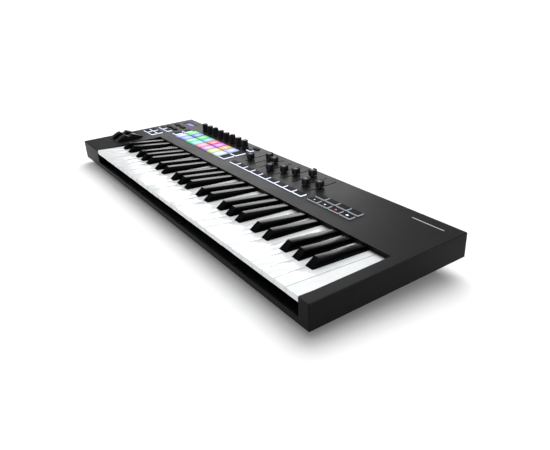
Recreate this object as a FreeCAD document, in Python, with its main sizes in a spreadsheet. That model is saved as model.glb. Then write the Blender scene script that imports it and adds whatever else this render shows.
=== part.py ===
import FreeCAD, Part
import math
import os
import types

import Sketcher

# A 49-note controller keyboard: a flat black case that leans forward on a shallow belly, a level bed of
# synth-action keys, and a panel of pads, knobs, faders, wheels and buttons square to the leaning case.
# X runs from the bass end to the treble end, Y from the player to the rear, Z up from the table.
# Case and panel parts are drawn square in the "deck" frame (x, v along the case's slope, w square to it)
# and get the deck's Placement; keys, keybed, bottom case and feet are drawn level.

os.makedirs("parts", exist_ok=True)
doc = FreeCAD.newDocument("controller_keyboard")

SIZES = [
    # case
    ("case_width", 789.0, "overall width"),
    ("case_depth", 258.0, "depth along the slope"),
    ("case_height", 35.4, "height of the side walls, square to the slope"),
    ("tilt", 3.3, "degrees that the case leans towards the player"),
    ("front_lift", 11.5, "lower front edge of the case above the table"),
    ("wall", 3.0, "thickness of the case's walls and top"),
    ("corner_radius", 1.2, "upright corners of the case"),
    ("edge_bevel", 0.9, "bevel around the top"),
    ("rail_height", 9.7, "front rail under the keys"),
    ("opening_left", -306.0, "left side of the key opening"),
    ("opening_right", 376.5, "right side of the key opening"),
    ("opening_rear", 9.5, "rear edge of the key opening along the slope"),
    ("skirt_drop", 6.5, "skirt below the panel behind the keys"),
    # keys
    ("key_pitch", 23.45, "width of one white key with its gap"),
    ("key_gap", 0.9, "gap between neighbouring keys"),
    ("key_first", -304.5, "left edge of the lowest key"),
    ("key_top", 47.0, "height of the white keys' top"),
    ("key_front", -128.8, "front of the white keys"),
    ("key_depth", 7.4, "height of the white keys' front lip"),
    ("key_wall", 1.5, "side walls of a key"),
    ("key_skin", 2.2, "top of a white key"),
    ("key_end", 31.0, "rear end of the keys"),
    ("key_hollow_end", 6.0, "rear end of the hollow under a key"),
    ("tail_start", 20.0, "front of the deep tail around the pivot"),
    ("tail_low", 36.5, "underside of the tail"),
    ("tail_trim", 1.3, "tails set back where a pivot ear stands"),
    ("trim_start", 12.0, "front of the set-back stretch"),
    ("pivot_y", 27.0, "key pivot, from the middle"),
    ("pivot_z", 41.0, "key pivot, above the table"),
    ("pivot_radius", 2.0, "key pivot rod"),
    ("running_gap", 0.05, "radial clearance of a running fit"),
    ("sharp_width", 13.8, "black key at its base"),
    ("sharp_crown", 9.7, "black key along its top"),
    ("sharp_front", -80.2, "front of a black key at its base"),
    ("sharp_crest", -69.0, "front of a black key at its top"),
    ("sharp_back", 7.3, "rear end of a black key's raised part"),
    ("sharp_rise", 10.9, "black key above the white ones, at the front"),
    ("sharp_rear_rise", 6.0, "black key above the white ones, at the rear"),
    ("sharp_room", 0.75, "gap each side of a black key"),
    ("hook_width", 7.0, "stop hook under a key"),
    ("white_hook", -111.0, "front of the white keys' hooks"),
    ("black_hook", -79.0, "front of the black keys' hooks"),
    ("hook_low", 23.5, "underside of the hooks"),
    ("hook_high", 25.0, "upper side of the hooks"),
    # panel
    ("board_top", 24.0, "panel circuit board's upper face above the case's lower plane"),
    ("board_thickness", 1.6, "circuit boards"),
    ("cap_stand", 1.8, "buttons and pads above the panel"),
    ("cap_gap", 0.45, "gap around a button or pad"),
    ("cap_foot", 25.5, "underside of the buttons and pads"),
    ("flange_reach", 1.0, "retaining flange around a button"),
    ("flange_thickness", 1.4, "retaining flange"),
    ("button_width", 22.0, "long buttons"),
    ("button_depth", 11.5, "long buttons"),
    ("pad_width", 21.6, "pads"),
    ("pad_length", 23.0, "pads"),
    ("pad_first", -277.0, "first column of pads and knobs"),
    ("pad_pitch", 23.9, "columns of pads and knobs"),
    ("fader_first", -43.0, "first fader"),
    ("fader_pitch", 24.25, "columns of faders"),
    ("slot_front", 64.0, "front end of the fader slots"),
    ("slot_rear", 117.5, "rear end of the fader slots"),
    ("slot_width", 2.4, "fader slots"),
    ("cap_width", 9.6, "fader caps"),
    ("cap_length", 14.0, "fader caps"),
    ("cap_height", 12.0, "fader caps"),
    ("knob_row", 106.0, "row of knobs along the slope"),
    ("knob_radius", 6.9, "knob at its foot"),
    ("knob_crown", 5.4, "knob at its top"),
    ("knob_height", 16.3, "knob"),
    ("knob_rise", 0.6, "gap under a knob"),
    ("shaft_radius", 3.0, "knob shafts"),
    ("wheel_first", -369.0, "pitch wheel"),
    ("wheel_second", -337.0, "modulation wheel"),
    ("wheel_centre", -49.0, "both wheels along the slope"),
    ("wheel_axis", 8.8, "wheel axle above the case's lower plane"),
    ("wheel_radius", 38.5, "wheels"),
    ("wheel_width", 13.0, "wheels"),
    ("wheel_slot_length", 61.0, "wheel slots"),
    ("hub_radius", 8.5, "wheel hubs"),
    ("axle_radius", 2.0, "wheel axle"),
    # underside
    ("belly_inset", 14.0, "belly set in from the case's sides"),
    ("belly_slant", 11.0, "depth below the case at which the belly's ends start to slant in"),
    ("belly_slope", 0.86, "drop of the slanted ends for each mm inwards"),
    ("floor_height", 3.2, "belly above the table"),
    ("floor_thickness", 2.5, "belly and flange"),
    ("foot_radius", 9.0, "rubber feet"),
    ("screw_radius", 1.4, "case screws"),
    ("screw_head", 2.6, "case screw heads"),
]

sheet = doc.addObject("Spreadsheet::Sheet", "sizes")
for row, (alias, value, meaning) in enumerate(SIZES, start=1):
    sheet.set(f"A{row}", meaning)
    sheet.set(f"B{row}", str(value))
    sheet.setAlias(f"B{row}", alias)
doc.recompute()


class Size:
    """A length that knows both its expression on the sheet and its present value."""

    def __init__(self, text, value):
        self.text = text
        self.value = value

    def __add__(self, other):
        return joined(self, "+", other)

    def __radd__(self, other):
        return joined(other, "+", self)

    def __sub__(self, other):
        return joined(self, "-", other)

    def __rsub__(self, other):
        return joined(other, "-", self)

    def __mul__(self, other):
        return joined(self, "*", other)

    def __rmul__(self, other):
        return joined(other, "*", self)

    def __truediv__(self, other):
        return joined(self, "/", other)

    def __neg__(self):
        return joined(0, "-", self)


def as_size(value):
    return value if isinstance(value, Size) else Size(f"({value:.6g})", float(value))


def joined(first, sign, second):
    first = as_size(first)
    second = as_size(second)
    if sign == "+":
        value = first.value + second.value
    elif sign == "-":
        value = first.value - second.value
    elif sign == "*":
        value = first.value * second.value
    else:
        value = first.value / second.value
    return Size(f"({first.text} {sign} {second.text})", value)


s = types.SimpleNamespace(**{alias: Size(f"sizes.{alias}", value) for alias, value, _ in SIZES})

tilt_angle = math.radians(s.tilt.value)
tilt_sin = Size("sin(sizes.tilt * 1deg)", math.sin(tilt_angle))
tilt_cos = Size("cos(sizes.tilt * 1deg)", math.cos(tilt_angle))
deck_y = s.case_height / 2 * tilt_sin
deck_z = s.front_lift + s.case_depth / 2 * tilt_sin
DECK = FreeCAD.Placement(
    FreeCAD.Vector(0, deck_y.value, deck_z.value),
    FreeCAD.Rotation(FreeCAD.Vector(1, 0, 0), s.tilt.value),
)

LAY_ALONG_X = FreeCAD.Rotation(FreeCAD.Vector(0, 1, 0), 90)
half_width = s.case_width / 2
half_depth = s.case_depth / 2
panel_under = s.case_height - s.wall
parts = {}


def level(v, w):
    """The level (y, z) of the deck's point (v, w)."""
    return deck_y + v * tilt_cos - w * tilt_sin, deck_z + v * tilt_sin + w * tilt_cos


def bind(feature, prop, size):
    feature.setExpression(prop, as_size(size).text)


# ---------------------------------------------------------------- PartDesign helpers


def new_body(label):
    body = doc.addObject("PartDesign::Body", label)
    body.Label = label
    body.AllowCompound = True
    parts[label] = body
    return body


def origin_feature(body, role):
    return next(f for f in body.Origin.OriginFeatures if f.Role == role)


def new_sketch(body, role, lift):
    sketch = body.newObject("Sketcher::SketchObject", f"{body.Name}_sketch")
    sketch.AttachmentSupport = [(origin_feature(body, role), "")]
    sketch.MapMode = "FlatFace"
    bind(sketch, "AttachmentOffset.Base.z", lift)
    return sketch


def fill_sketch(sketch, shapes, joins, sizes):
    """Adds geometry and its constraints in one go, then ties every named size to the sheet."""
    sketch.addGeometry(shapes, False)
    constraints = joins + [Sketcher.Constraint(*description, size.value) for _, description, size in sizes]
    sketch.addConstraint(constraints)
    for index, (name, _, size) in enumerate(sizes, start=len(joins)):
        sketch.renameConstraint(index, name)
        sketch.setExpression(f"Constraints.{name}", size.text)


def outline(body, role, corners, lift=0):
    """A sketch of one closed straight-sided loop, every corner tied to the sheet."""
    sketch = new_sketch(body, role, lift)
    corners = [(as_size(a), as_size(b)) for a, b in corners]
    points = [FreeCAD.Vector(a.value, b.value, 0) for a, b in corners]
    following = points[1:] + points[:1]
    edges = [Part.LineSegment(start, end) for start, end in zip(points, following)]
    joins = [Sketcher.Constraint("Coincident", i, 2, (i + 1) % len(edges), 1) for i in range(len(edges))]
    sizes = []
    for i, (a, b) in enumerate(corners):
        sizes.append((f"x{i}", ("DistanceX", -1, 1, i, 1), a))
        sizes.append((f"y{i}", ("DistanceY", -1, 1, i, 1), b))
    fill_sketch(sketch, edges, joins, sizes)
    return sketch


def ring(body, role, a, b, radius, lift=0):
    """A sketch of one circle, its centre and radius tied to the sheet."""
    sketch = new_sketch(body, role, lift)
    a, b, radius = as_size(a), as_size(b), as_size(radius)
    circle = Part.Circle(FreeCAD.Vector(a.value, b.value, 0), FreeCAD.Vector(0, 0, 1), radius.value)
    sizes = [
        ("x", ("DistanceX", -1, 1, 0, 3), a),
        ("y", ("DistanceY", -1, 1, 0, 3), b),
        ("r", ("Radius", 0), radius),
    ]
    fill_sketch(sketch, [circle], [], sizes)
    return sketch


def pad(body, sketch, length, reverse=False):
    feature = body.newObject("PartDesign::Pad", f"{body.Name}_pad")
    feature.Profile = sketch
    bind(feature, "Length", length)
    feature.Reversed = reverse
    return feature


def pocket(body, sketch, length, reverse=False):
    """A pocket that must take material away."""
    doc.recompute()
    before = body.Shape.Volume
    feature = body.newObject("PartDesign::Pocket", f"{body.Name}_pocket")
    feature.Profile = sketch
    bind(feature, "Length", length)
    feature.Reversed = reverse
    doc.recompute()
    if body.Shape.Volume > before - 1e-3:
        raise RuntimeError(f"{feature.Label} cuts nothing")
    return feature


def repeat(body, features, spacing, count):
    """Repeats features along X."""
    pattern = body.newObject("PartDesign::LinearPattern", f"{body.Name}_pattern")
    pattern.Originals = features
    pattern.Direction = (origin_feature(body, "X_Axis"), [""])
    bind(pattern, "Length", spacing * (count - 1))
    pattern.Occurrences = count
    body.Tip = pattern
    return pattern


def dress(body, kind, size_prop, size, edge_test):
    """Fillets or chamfers the edges that pass the test."""
    doc.recompute()
    base = body.Tip
    names = [f"Edge{i}" for i, edge in enumerate(base.Shape.Edges, start=1) if edge_test(edge)]
    feature = body.newObject(f"PartDesign::{kind}", f"{body.Name}_{kind.lower()}")
    feature.Base = (base, names)
    bind(feature, size_prop, size)
    doc.recompute()
    return feature


def rect(x, y, width, depth):
    """Corners of a rectangle about its centre."""
    return [
        (x - width / 2, y - depth / 2),
        (x + width / 2, y - depth / 2),
        (x + width / 2, y + depth / 2),
        (x - width / 2, y + depth / 2),
    ]


def span(x0, x1, y0, y1):
    """Corners of a rectangle from its sides."""
    return [(x0, y0), (x1, y0), (x1, y1), (x0, y1)]


def is_upright(edge):
    direction = edge.Vertexes[-1].Point - edge.Vertexes[0].Point
    return abs(direction.z) > 0.9 * direction.Length > 0


# ---------------------------------------------------------------- Part helpers


def primitive(kind, name, place=None, **sizes):
    """A Part primitive whose sizes, and place, are bound to the sheet."""
    feature = doc.addObject(f"Part::{kind}", name)
    for prop, size in sizes.items():
        bind(feature, prop, size)
    for axis, size in zip("xyz", place or []):
        bind(feature, f"Placement.Base.{axis}", size)
    return feature


def box(name, x0, x1, y0, y1, z0, z1):
    return primitive("Box", name, (x0, y0, z0), Length=x1 - x0, Width=y1 - y0, Height=z1 - z0)


def block(name, corners, z0, z1):
    """An upright block on a rectangle from rect() or span()."""
    (x0, y0), _, (x1, y1), _ = corners
    return box(name, x0, x1, y0, y1, as_size(z0), as_size(z1))


def post(name, x, y, z0, z1, radius):
    return primitive("Cylinder", name, (x, y, z0), Radius=radius, Height=as_size(z1) - z0)


def fused(label, shapes):
    feature = doc.addObject("Part::MultiFuse", label)
    feature.Shapes = shapes
    feature.Refine = False
    return feature


def together(label, shapes):
    feature = doc.addObject("Part::Compound", label)
    feature.Links = shapes
    return feature


def cut(label, base, tool):
    feature = doc.addObject("Part::Cut", label)
    feature.Base = base
    feature.Tool = tool
    return feature


def finish_part(label, feature, placement=None):
    feature.Label = label
    if placement is not None:
        feature.Placement = placement
    parts[label] = feature
    return feature


def grouped(label, shapes, placement=None):
    """Separate solids that share one node, such as a set of feet."""
    return finish_part(label, together(label, shapes), placement)


# ---------------------------------------------------------------- panel layout, in the deck frame

LEFT_COLUMNS = [Size("(-367.5)", -367.5), Size("(-341.5)", -341.5)]
pad_columns = [s.pad_first + s.pad_pitch * i for i in range(8)]
fader_columns = [s.fader_first + s.fader_pitch * i for i in range(9)]
transport_columns = [as_size(186.5) + s.fader_pitch * i for i in range(4)]
PAD_ROWS = {"pad_row_upper": 74.2, "pad_row_lower": 48.5}
FADER_REST = [77.0, 103.0, 97.0, 71.0, 84.0, 91.0, 108.0, 75.0, 84.0]

small_depth = as_size(8.0)
small_width = as_size(19.0)
BUTTONS = {
    "menu_buttons": [rect(x, v, small_width, small_depth) for v in (80.0, 60.0) for x in LEFT_COLUMNS],
    "track_buttons": [
        rect(x, v, s.button_width, s.button_depth) for v in (43.5, 21.0, 6.5) for x in LEFT_COLUMNS
    ],
    "pad_side_buttons": [
        rect(x, v, as_size(width), as_size(depth))
        for x, v, width, depth in (
            (-301.5, 72.5, 17.0, 18.0),
            (-301.5, 49.5, 17.0, 18.0),
            (-85.5, 74.2, 20.5, 22.6),
            (-85.5, 48.5, 20.5, 22.6),
            (-86.0, 102.0, 16.0, 8.0),
            (-86.0, 117.0, 16.0, 8.0),
        )
    ],
    "fader_buttons": [rect(x, 43.3, s.button_width, as_size(12.0)) for x in fader_columns],
    "transport_buttons": [
        rect(x, v, s.button_width, s.button_depth) for v in (60.2, 44.8) for x in transport_columns
    ],
}
PADS = {name: [rect(x, v, s.pad_width, s.pad_length) for x in pad_columns] for name, v in PAD_ROWS.items()}

DISPLAY = (-350.0, 104.5)
WINDOW_WIDTH = as_size(46.0)
WINDOW_DEPTH = as_size(18.0)

BOSS_PLACES = [(x, v) for x in (-320.0, -64.5, 168.5, 276.0) for v in (45.0, 112.0)]
REAR_SCREWS = [(x, 123.0) for x in (-387.0, -130.0, -66.0, 165.0, 387.0)]
CHEEK_SCREWS = [(x, v) for x in (-386.5, 386.5) for v in (-118.0, -10.0)]
RAIL_SCREWS = [(x, -123.7) for x in (-250.0, -90.0, 70.0, 230.0)]

MAIN_BOARD_LOW = as_size(4.5)
PORT_HEIGHT = 14.5
USB_X = -300.0
MIDI_X = -262.0
JACK_X = -226.0
LOCK_X = -345.0


def grown(loop, reach):
    """The same rectangle, larger by reach on every side."""
    (x0, y0), _, (x1, y1), _ = loop
    return span(x0 - reach, x1 + reach, y0 - reach, y1 + reach)


# ---------------------------------------------------------------- case


def make_top_case():
    body = doc.addObject("PartDesign::Body", "case_shell")
    plan = rect(as_size(0), as_size(0), s.case_width, s.case_depth)
    pad(body, outline(body, "XY_Plane", plan), s.case_height)
    dress(body, "Fillet", "Radius", s.corner_radius, is_upright)
    height = s.case_height.value
    dress(
        body, "Chamfer", "Size", s.edge_bevel,
        lambda edge: all(abs(vertex.Point.z - height) < 1e-6 for vertex in edge.Vertexes),
    )
    inside = rect(as_size(0), as_size(0), s.case_width - 2 * s.wall, s.case_depth - 2 * s.wall)
    pocket(body, outline(body, "XY_Plane", inside), panel_under, reverse=True)

    # walls of the key opening: one each side, and the skirt behind the keys
    for x0 in (s.opening_left - s.wall, s.opening_right):
        cheek = span(x0, x0 + s.wall, 1 - half_depth, s.opening_rear + s.wall)
        pad(body, outline(body, "XY_Plane", cheek, 3), s.case_height - 4)
    skirt = span(s.opening_left - 1, s.opening_right + 1, s.opening_rear, s.opening_rear + s.wall)
    pad(body, outline(body, "XY_Plane", skirt, s.case_height - s.skirt_drop), s.skirt_drop - 1)

    # the key opening runs out through the front above the rail
    opening = span(s.opening_left, s.opening_right, -half_depth - 2, s.opening_rear)
    pocket(body, outline(body, "XY_Plane", opening, s.case_height + 2), s.case_height + 2 - s.rail_height)

    # bosses for the circuit board and for the case screws
    bosses = [post("board_boss", x, v, s.board_top, panel_under + 1, 3.0) for x, v in BOSS_PLACES]
    low = s.floor_thickness + 0.1
    bosses += [post("case_boss", x, v, low, panel_under + 1, 2.8) for x, v in REAR_SCREWS + CHEEK_SCREWS]
    bosses += [post("rail_boss", x, v, low, s.rail_height, 2.8) for x, v in RAIL_SCREWS]
    solid = fused("case_with_bosses", [body] + bosses)

    # panel cut-outs
    low, high = panel_under - 1, s.case_height + 1
    caps = [loop for group in (BUTTONS, PADS) for loops in group.values() for loop in loops]
    loops = [grown(loop, s.cap_gap) for loop in caps]
    slot_middle = (s.slot_front + s.slot_rear) / 2
    loops += [rect(x, slot_middle, s.slot_width, s.slot_rear - s.slot_front) for x in fader_columns]
    for x in (s.wheel_first, s.wheel_second):
        loops.append(rect(x, s.wheel_centre, s.wheel_width + 2, s.wheel_slot_length))
    loops.append(rect(as_size(DISPLAY[0]), as_size(DISPLAY[1]), WINDOW_WIDTH, WINDOW_DEPTH))
    holes = [block("panel_hole", loop, low, high) for loop in loops]
    holes += [post("shaft_hole", x, s.knob_row, low, high, s.shaft_radius + 0.8) for x in pad_columns]

    # screw holes from below, and the sockets' holes in the rear wall
    radius = s.screw_radius + 0.05
    low = s.board_top - 1
    holes += [post("board_screw_hole", x, v, low, s.board_top + 6.5, radius) for x, v in BOSS_PLACES]
    places = REAR_SCREWS + CHEEK_SCREWS + RAIL_SCREWS
    holes += [post("case_screw_hole", x, v, 1, 8.5, radius) for x, v in places]
    for x, width, depth in ((USB_X, 12.6, 11.4), (LOCK_X, 7.0, 3.0)):
        window = rect(as_size(x), half_depth, as_size(width), as_size(10.0))
        holes.append(block("port_hole", window, PORT_HEIGHT - depth / 2, PORT_HEIGHT + depth / 2))
    for x, radius in ((MIDI_X, 9.4), (JACK_X, 5.3)):
        hole = primitive("Cylinder", "port_hole", (x, half_depth + 5, PORT_HEIGHT), Radius=radius, Height=10)
        hole.Placement.Rotation = FreeCAD.Rotation(FreeCAD.Vector(1, 0, 0), 90)
        holes.append(hole)
    finish_part("top_case", cut("top_case", solid, together("case_holes", holes)), DECK)


def end_wedges(name, lift):
    """Wedges that slant the belly's ends, parallel to the case and raised by lift."""
    run = as_size(25.0)
    outside = half_width + 5
    start = half_width - s.belly_inset
    high = lift - s.belly_slant
    low = high - s.belly_slope * run
    rise = s.belly_slope * (outside - start)
    wedges = []
    for side in (1, -1):
        body = doc.addObject("PartDesign::Body", name)
        corners = [((start - run) * side, low), (outside * side, low), (outside * side, high + rise)]
        pad(body, outline(body, "XZ_Plane", corners, -half_depth - 10), s.case_depth + 20)
        body.Placement = DECK
        wedges.append(body)
    return together(name + "_pair", wedges)


def make_bottom_case():
    """A level tray under the leaning case, with a flange that closes the case around it."""
    body = doc.addObject("PartDesign::Body", "tray")
    belly_half = half_width - s.belly_inset
    front_top = level(s.belly_inset - half_depth, as_size(0.5))
    rear_top = level(half_depth - s.belly_inset, as_size(0.5))
    slope = as_size(6.0)
    outer = [
        (front_top[0] + slope, s.floor_height),
        (rear_top[0] - slope, s.floor_height),
        rear_top,
        front_top,
    ]
    pad(body, outline(body, "YZ_Plane", outer, -belly_half), belly_half * 2)
    flange_half = half_width - s.wall - 0.3
    flange_front = s.wall + 0.3 - half_depth
    flange = [
        level(flange_front, as_size(0.1)),
        level(-flange_front, as_size(0.1)),
        level(-flange_front, s.floor_thickness),
        level(flange_front, s.floor_thickness),
    ]
    pad(body, outline(body, "YZ_Plane", flange, -flange_half), flange_half * 2)
    skin = s.floor_thickness
    front_open = level(s.belly_inset + skin - half_depth, as_size(6.0))
    rear_open = level(half_depth - s.belly_inset - skin, as_size(6.0))
    inner = [
        (front_top[0] + slope + skin, s.floor_height + skin),
        (rear_top[0] - slope - skin, s.floor_height + skin),
        rear_open,
        front_open,
    ]
    inner_half = belly_half - skin
    room = doc.addObject("PartDesign::Body", "tray_room")
    pad(room, outline(room, "YZ_Plane", inner, -inner_half), inner_half * 2)
    shell = cut("tray_slanted", body, end_wedges("outer_wedge", as_size(0)))
    shell = cut("tray_shell", shell, cut("tray_hollow", room, end_wedges("inner_wedge", as_size(3.3))))

    # posts that carry the keybed, and screw holes
    low = s.floor_height
    posts = [post("keybed_post", x, y, low + 1, KEYBED_FLOOR, 4.0) for x, y in KEYBED_SCREWS]
    solid = fused("tray_with_posts", [shell] + posts)
    holes = [post("screw_well", x, y, low - 1, low + 4, s.screw_head + 0.4) for x, y in KEYBED_SCREWS]
    holes += [post("screw_way", x, y, low - 1, low + 14, s.screw_radius + 0.2) for x, y in KEYBED_SCREWS]
    for x, v in REAR_SCREWS + CHEEK_SCREWS + RAIL_SCREWS:
        hole = primitive("Cylinder", "flange_hole", Radius=s.screw_radius + 0.3, Height=5)
        hole.Placement = DECK.multiply(FreeCAD.Placement(FreeCAD.Vector(x, v, -1), FreeCAD.Rotation()))
        holes.append(hole)
    finish_part("bottom_case", cut("bottom_case", solid, together("tray_holes", holes)))


# ---------------------------------------------------------------- keybed

KEYBED_FLOOR = as_size(14.0)
KEYBED_SCREWS = [(x, y) for x in (-280.0, -60.0, 130.0, 340.0) for y in (-80.0, 24.0)]
OCTAVES = 4
octave = s.key_pitch * 7
key_low = s.key_top - s.key_depth
bed_left = s.key_first
bed_right = s.key_first + s.key_pitch * (7 * OCTAVES + 1)
CONTACT_LINE = -30.0
SPRING_LINE = 14.0

# white keys of one octave: name, then the offset of the black key at its left and at its right edge, or None
WHITE_KEYS = [
    ("key_c", None, -2.9),
    ("key_d", -2.9, 2.9),
    ("key_e", 2.9, None),
    ("key_f", None, -3.3),
    ("key_g", -3.3, 0.0),
    ("key_a", 0.0, 3.3),
    ("key_b", 3.3, None),
]
# black keys of one octave: name, white edges from C, offset of the centre from that edge
BLACK_KEYS = [
    ("key_c_sharp", 1, -2.9),
    ("key_d_sharp", 2, 2.9),
    ("key_f_sharp", 4, -3.3),
    ("key_g_sharp", 5, 0.0),
    ("key_a_sharp", 6, 3.3),
]
sharp_half_room = s.sharp_width / 2 + s.sharp_room


def hook(body, centre, front, reach):
    """The stop hook under a key: a leg down through the keybed and a foot turned to the rear."""
    profile = [
        (front, s.hook_low),
        (front + reach, s.hook_low),
        (front + reach, s.hook_high),
        (front + 3, s.hook_high),
        (front + 3, s.key_top - 1.5),
        (front, s.key_top - 1.5),
    ]
    return pad(body, outline(body, "YZ_Plane", profile, centre - s.hook_width / 2), s.hook_width)


def white_key(body, left, left_sharp, right_sharp):
    """One hollow white key from its left pitch line, cut away beside the black keys."""
    x0 = left + s.key_gap / 2
    x1 = left + s.key_pitch - s.key_gap / 2
    shoulder = s.sharp_front - s.sharp_room
    thick = s.key_wall
    if left_sharp is None:
        inner_left, left_step = x0 + s.tail_trim, s.trim_start
    else:
        inner_left, left_step = left + left_sharp + sharp_half_room, shoulder
    if right_sharp is None:
        inner_right, right_step = x1 - s.tail_trim, s.trim_start
    else:
        inner_right, right_step = left + s.key_pitch + right_sharp - sharp_half_room, shoulder
    plan = [
        (x0, s.key_front), (x1, s.key_front), (x1, right_step), (inner_right, right_step),
        (inner_right, s.key_end), (inner_left, s.key_end), (inner_left, left_step), (x0, left_step),
    ]
    features = [pad(body, outline(body, "XY_Plane", plan, key_low), s.key_depth)]
    hollow = [(x0 + thick, s.key_front + s.key_skin), (x1 - thick, s.key_front + s.key_skin)]
    if right_sharp is None:
        hollow.append((x1 - thick, s.key_hollow_end))
    else:
        hollow += [(x1 - thick, shoulder - thick), (inner_right - thick, shoulder - thick)]
        hollow.append((inner_right - thick, s.key_hollow_end))
    if left_sharp is None:
        hollow.append((x0 + thick, s.key_hollow_end))
    else:
        hollow += [(inner_left + thick, s.key_hollow_end), (inner_left + thick, shoulder - thick)]
        hollow.append((x0 + thick, shoulder - thick))
    hollow_sketch = outline(body, "XY_Plane", hollow, key_low)
    features.append(pocket(body, hollow_sketch, s.key_depth - s.key_skin, reverse=True))
    middle = (inner_left + inner_right) / 2
    striker = rect(middle, as_size(CONTACT_LINE), as_size(5.0), as_size(6.0))
    features.append(pad(body, outline(body, "XY_Plane", striker, key_low), s.key_depth - 1))
    tail = span(inner_left, inner_right, s.tail_start, s.key_end)
    features.append(pad(body, outline(body, "XY_Plane", tail, s.tail_low), s.key_depth))
    features.append(hook(body, (x0 + x1) / 2, s.white_hook, 13.5))
    return features


def black_key(body, centre):
    """One black key: a raised wedge with sloping sides and front, on a low tail."""
    half = s.sharp_width / 2
    tail_top = s.key_top - 1.5
    crest = s.key_top + s.sharp_rise
    side = [
        (s.sharp_front, key_low),
        (s.tail_start, key_low),
        (s.tail_start, s.tail_low),
        (s.key_end, s.tail_low),
        (s.key_end, tail_top),
        (s.sharp_back, tail_top),
        (s.sharp_back, s.key_top + s.sharp_rear_rise),
        (s.sharp_crest, crest),
        (s.sharp_front, s.key_top + 0.4),
    ]
    features = [pad(body, outline(body, "YZ_Plane", side, centre - half), s.sharp_width)]
    crown = s.sharp_crown / 2
    flank = (half - crown) / (s.sharp_rise - 0.4)
    foot = s.key_top + 0.4
    lean = [(0, foot), (2, foot), (2, crest + 1), (-flank * (s.sharp_rise + 0.6), crest + 1)]
    for side_sign in (1, -1):
        flank = [(centre + side_sign * (half + x), z) for x, z in lean]
        sketch = outline(body, "XZ_Plane", flank, 1 - s.sharp_front)
        features.append(pocket(body, sketch, s.sharp_back - s.sharp_front + 2))
    hollow = span(centre - half + s.key_wall, centre + half - s.key_wall, as_size(-75.0), s.key_hollow_end)
    features.append(pocket(body, outline(body, "XY_Plane", hollow, key_low), 6.0, reverse=True))
    striker = rect(centre, as_size(CONTACT_LINE), as_size(5.0), as_size(6.0))
    features.append(pad(body, outline(body, "XY_Plane", striker, key_low), s.key_depth - 1))
    features.append(hook(body, centre, s.black_hook, 13.5))
    return features


def pivot_hole(body):
    """Bores every key of the body for the pivot rod."""
    hole = ring(body, "YZ_Plane", s.pivot_y, s.pivot_z, s.pivot_radius + s.running_gap, -half_width)
    pocket(body, hole, s.case_width, reverse=True)


def make_keys():
    for number, (name, left_sharp, right_sharp) in enumerate(WHITE_KEYS):
        body = new_body(name)
        features = white_key(body, s.key_first + s.key_pitch * number, left_sharp, right_sharp)
        repeat(body, features, octave, OCTAVES)
        if name == "key_c":
            white_key(body, s.key_first + octave * OCTAVES, None, None)
        pivot_hole(body)
    for name, edge, offset in BLACK_KEYS:
        body = new_body(name)
        features = black_key(body, s.key_first + s.key_pitch * edge + offset)
        repeat(body, features, octave, OCTAVES)
        pivot_hole(body)


def key_middles():
    """The middle of every key at the contact line, from bass to treble."""
    middles = []
    for turn in range(OCTAVES):
        start = s.key_first + octave * turn
        for number, (_, left_sharp, right_sharp) in enumerate(WHITE_KEYS):
            left = start + s.key_pitch * number
            x0 = left + s.key_gap / 2 + s.tail_trim
            x1 = left + s.key_pitch - s.key_gap / 2 - s.tail_trim
            if left_sharp is not None:
                x0 = left + left_sharp + sharp_half_room
            if right_sharp is not None:
                x1 = left + s.key_pitch + right_sharp - sharp_half_room
            middles.append((x0 + x1) / 2)
        middles += [start + s.key_pitch * edge + offset for _, edge, offset in BLACK_KEYS]
    middles.append(s.key_first + octave * OCTAVES + s.key_pitch / 2)
    return sorted(middles, key=lambda size: size.value)


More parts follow.
